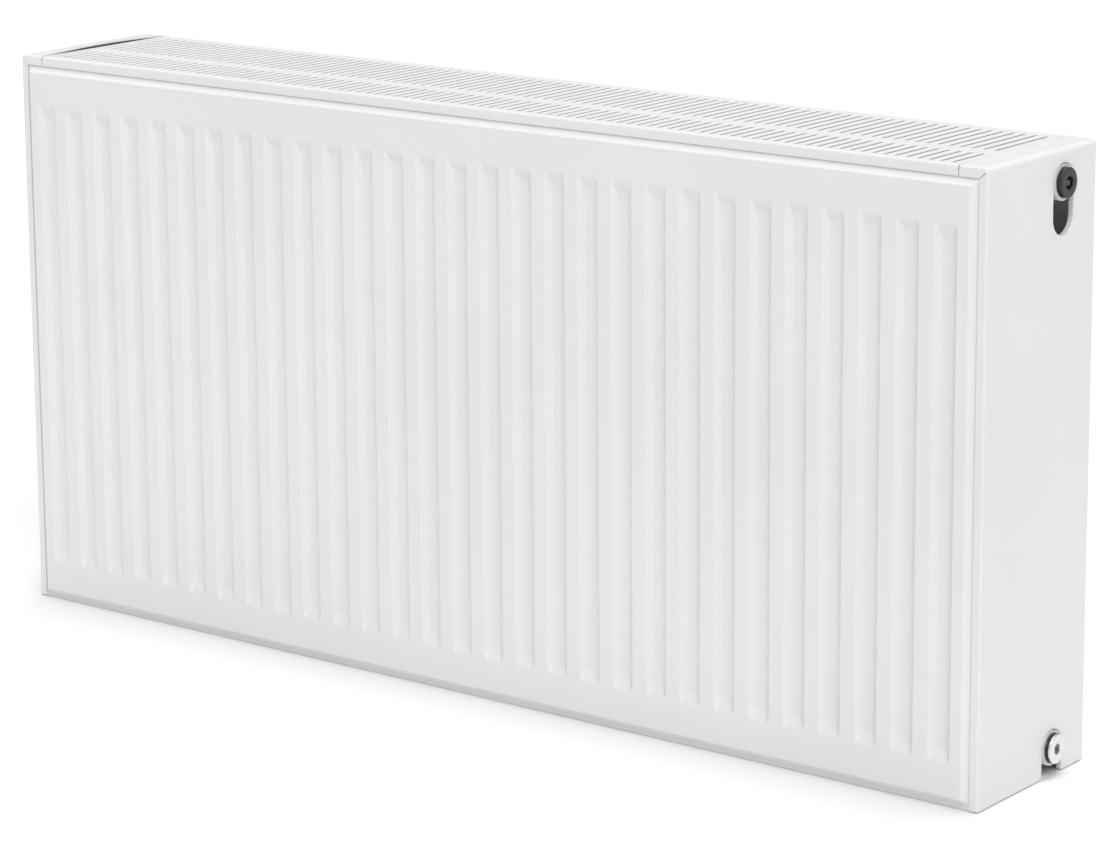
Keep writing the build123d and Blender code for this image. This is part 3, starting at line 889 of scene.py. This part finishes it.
def o_ring():
    """The round band under the metal plug's flange."""
    low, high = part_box("blanking_plug_o_ring")
    centre = (low + high) / 2
    section = (high.x - low.x) / 2
    ring_r = (high.y - low.y) / 2 - section
    rows = arc((centre.x, ring_r), section, 0, 337.5, 15)
    mesh = turned("blanking_plug_o_ring_band", rows, centre, closed=True)
    piece("blanking_plug_o_ring_band", mesh, "blanking_plug_o_ring")


def washer():
    """The flat seal under the black plug, with rounded edges."""
    low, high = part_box("vent_plug_seal")
    outer, inner, r = (high.y - low.y) / 2, THREAD_MINOR + 0.085 * MM, 0.25 * MM
    corners = (
        (high.x - r, outer - r, 0),
        (low.x + r, outer - r, 90),
        (low.x + r, inner + r, 180),
        (high.x - r, inner + r, 270),
    )
    rows = []
    for x, radius, start in corners:
        rows += arc((x, radius), r, start, start + 90, 3)
    mesh = turned("vent_plug_seal_ring", rows, (low + high) / 2, closed=True)
    piece("vent_plug_seal_ring", mesh, "vent_plug_seal")


def bleed_screw():
    """A stem that ends in a square for the bleed key."""
    low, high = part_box("bleed_screw")
    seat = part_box("vent_plug")[1].x - VENT_KEY_DEPTH
    square, chamfered = even(4, BLEED_SQUARE), even(4, BLEED_SQUARE - 0.5 * MM)
    rows = [(low.x, 0), (low.x, 2.4 * MM), (low.x + 0.6 * MM, BLEED_STEM)]
    rows += [(seat - 0.3 * MM, BLEED_STEM), (seat, 2.9 * MM), (seat, square)]
    rows += [(high.x - 0.5 * MM, square), (high.x, chamfered), (high.x, 0)]
    mesh = turned("bleed_screw_stem", rows, (low + high) / 2, 48)
    # Its finish carries painted shade: plated metal made dark for the recess it sits in
    mesh.materials.append(nickel_painted_shade)
    crisp(piece("bleed_screw_stem", mesh, "bleed_screw"))


blanking_plug()
vent_plug()
o_ring()
washer()
bleed_screw()


# ---------------------------------------------------------------- CAD nodes that stay

for name, obj in nodes.items():
    obj.data.materials.clear()
    obj.data.materials.append(finishes[slots[name]])


# ---------------------------------------------------------------- studio

FLOOR_REACH = 60.0
WORLD_STRENGTH = 0.43


def studio_floor():
    """A wide, faintly uneven white floor at the object's foot."""
    mat, tree, bsdf = shader("studio_floor")
    cloud = remap(tree, noise_field(tree, object_space(tree), 0.8), 0, 1)
    coloured(tree, bsdf, cloud, (0.88, 0.88, 0.88), (0.90, 0.90, 0.90))
    bsdf.inputs["Roughness"].default_value = 0.9
    bsdf.inputs["Specular IOR Level"].default_value = 0.1
    corners = ((-1, -1), (1, -1), (1, 1), (-1, 1))
    z = cad_box[0].z
    mesh = polygons("studio_floor", [[(x * FLOOR_REACH, y * FLOOR_REACH, z) for x, y in corners]])
    mesh.materials.append(mat)
    floor = bpy.data.objects.new("studio_floor", mesh)
    scene.collection.objects.link(floor)


def sun(name, azimuth, elevation, strength, softness):
    """A soft distant light; azimuth 0 comes from the front (-Y), 90 from the right (+X)."""
    data = bpy.data.lights.new(name, "SUN")
    data.energy, data.angle = strength, radians(softness)
    obj = bpy.data.objects.new(name, data)
    scene.collection.objects.link(obj)
    a, e = radians(azimuth), radians(elevation)
    towards = Vector((sin(a) * cos(e), -cos(a) * cos(e), sin(e)))
    obj.rotation_euler = towards.to_track_quat("Z", "Y").to_euler()


studio_floor()
world = bpy.data.worlds.new("studio")
world.use_nodes = True
background = world.node_tree.nodes["Background"]
background.inputs["Color"].default_value = (1, 1, 1, 1)
background.inputs["Strength"].default_value = WORLD_STRENGTH
scene.world = world
# A key light from the front right; the other one makes the soft shadow at the front's foot
sun("key_softbox", 45, 49, 1.46, 34)
sun("overhead_softbox", 180, 84, 1.45, 21)

camera_data = bpy.data.cameras.new("camera")
camera_data.lens = 123.5
camera_data.sensor_width = 36.0
camera_data.shift_y = -0.1
camera_data.clip_end = 200.0
camera = bpy.data.objects.new("camera", camera_data)
scene.collection.objects.link(camera)
camera.location = (1.9415, -2.4753, 0.9959)
camera.rotation_euler = Euler([radians(a) for a in (77.734, 0.374, 37.444)], "XYZ")
scene.camera = camera
